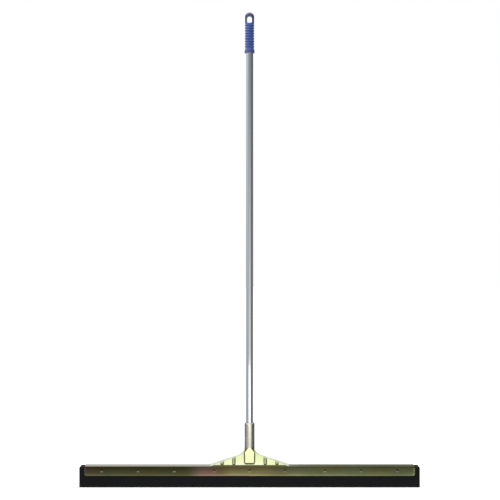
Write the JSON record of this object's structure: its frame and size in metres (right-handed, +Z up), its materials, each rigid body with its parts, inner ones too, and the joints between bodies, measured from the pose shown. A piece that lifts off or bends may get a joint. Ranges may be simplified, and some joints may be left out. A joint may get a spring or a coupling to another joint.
{
  "type": "floor squeegee",
  "caption": "Long-handled floor squeegee with twin rubber strips in a folded steel frame, a pressed socket bracket, a metal tube handle and a ribbed grip with a hanging loop.",
  "frame": {"origin": "on the floor, midway between the two rubber strips and under the handle's axis", "axes": "+Z up along the handle, +X along the strips, -Y towards the front"},
  "size_m": [1, 0.0434, 1.398],
  "materials": {
    "frame_steel": "yellow-passivated zinc, olive",
    "bracket_steel": "yellow-passivated zinc, bright",
    "spreader_steel": "zinc plated",
    "screw_steel": "zinc plated",
    "blade_rubber": "matt cellular rubber",
    "tube_metal": "bright drawn tube",
    "bush_plastic": "moulded",
    "grip_plastic": "moulded, satin gloss"
  },
  "bodies": {
    "head": {"frame_channel": "frame_steel", "blade_spreader": "spreader_steel", "front_blade": "blade_rubber", "rear_blade": "blade_rubber", "bracket_front": "bracket_steel", "bracket_rear": "bracket_steel", "socket_bush": "bush_plastic", "lock_screw": "screw_steel"},
    "handle": {"handle_tube": "tube_metal", "tube_plug": "bush_plastic", "hanger_grip": "grip_plastic"}
  },
  "joints": [
    {"name": "handle_slide", "type": "slide", "parent": "head", "child": "handle", "axis": [0, 0, 1], "range_m": [0, 0.13]}
  ]
}
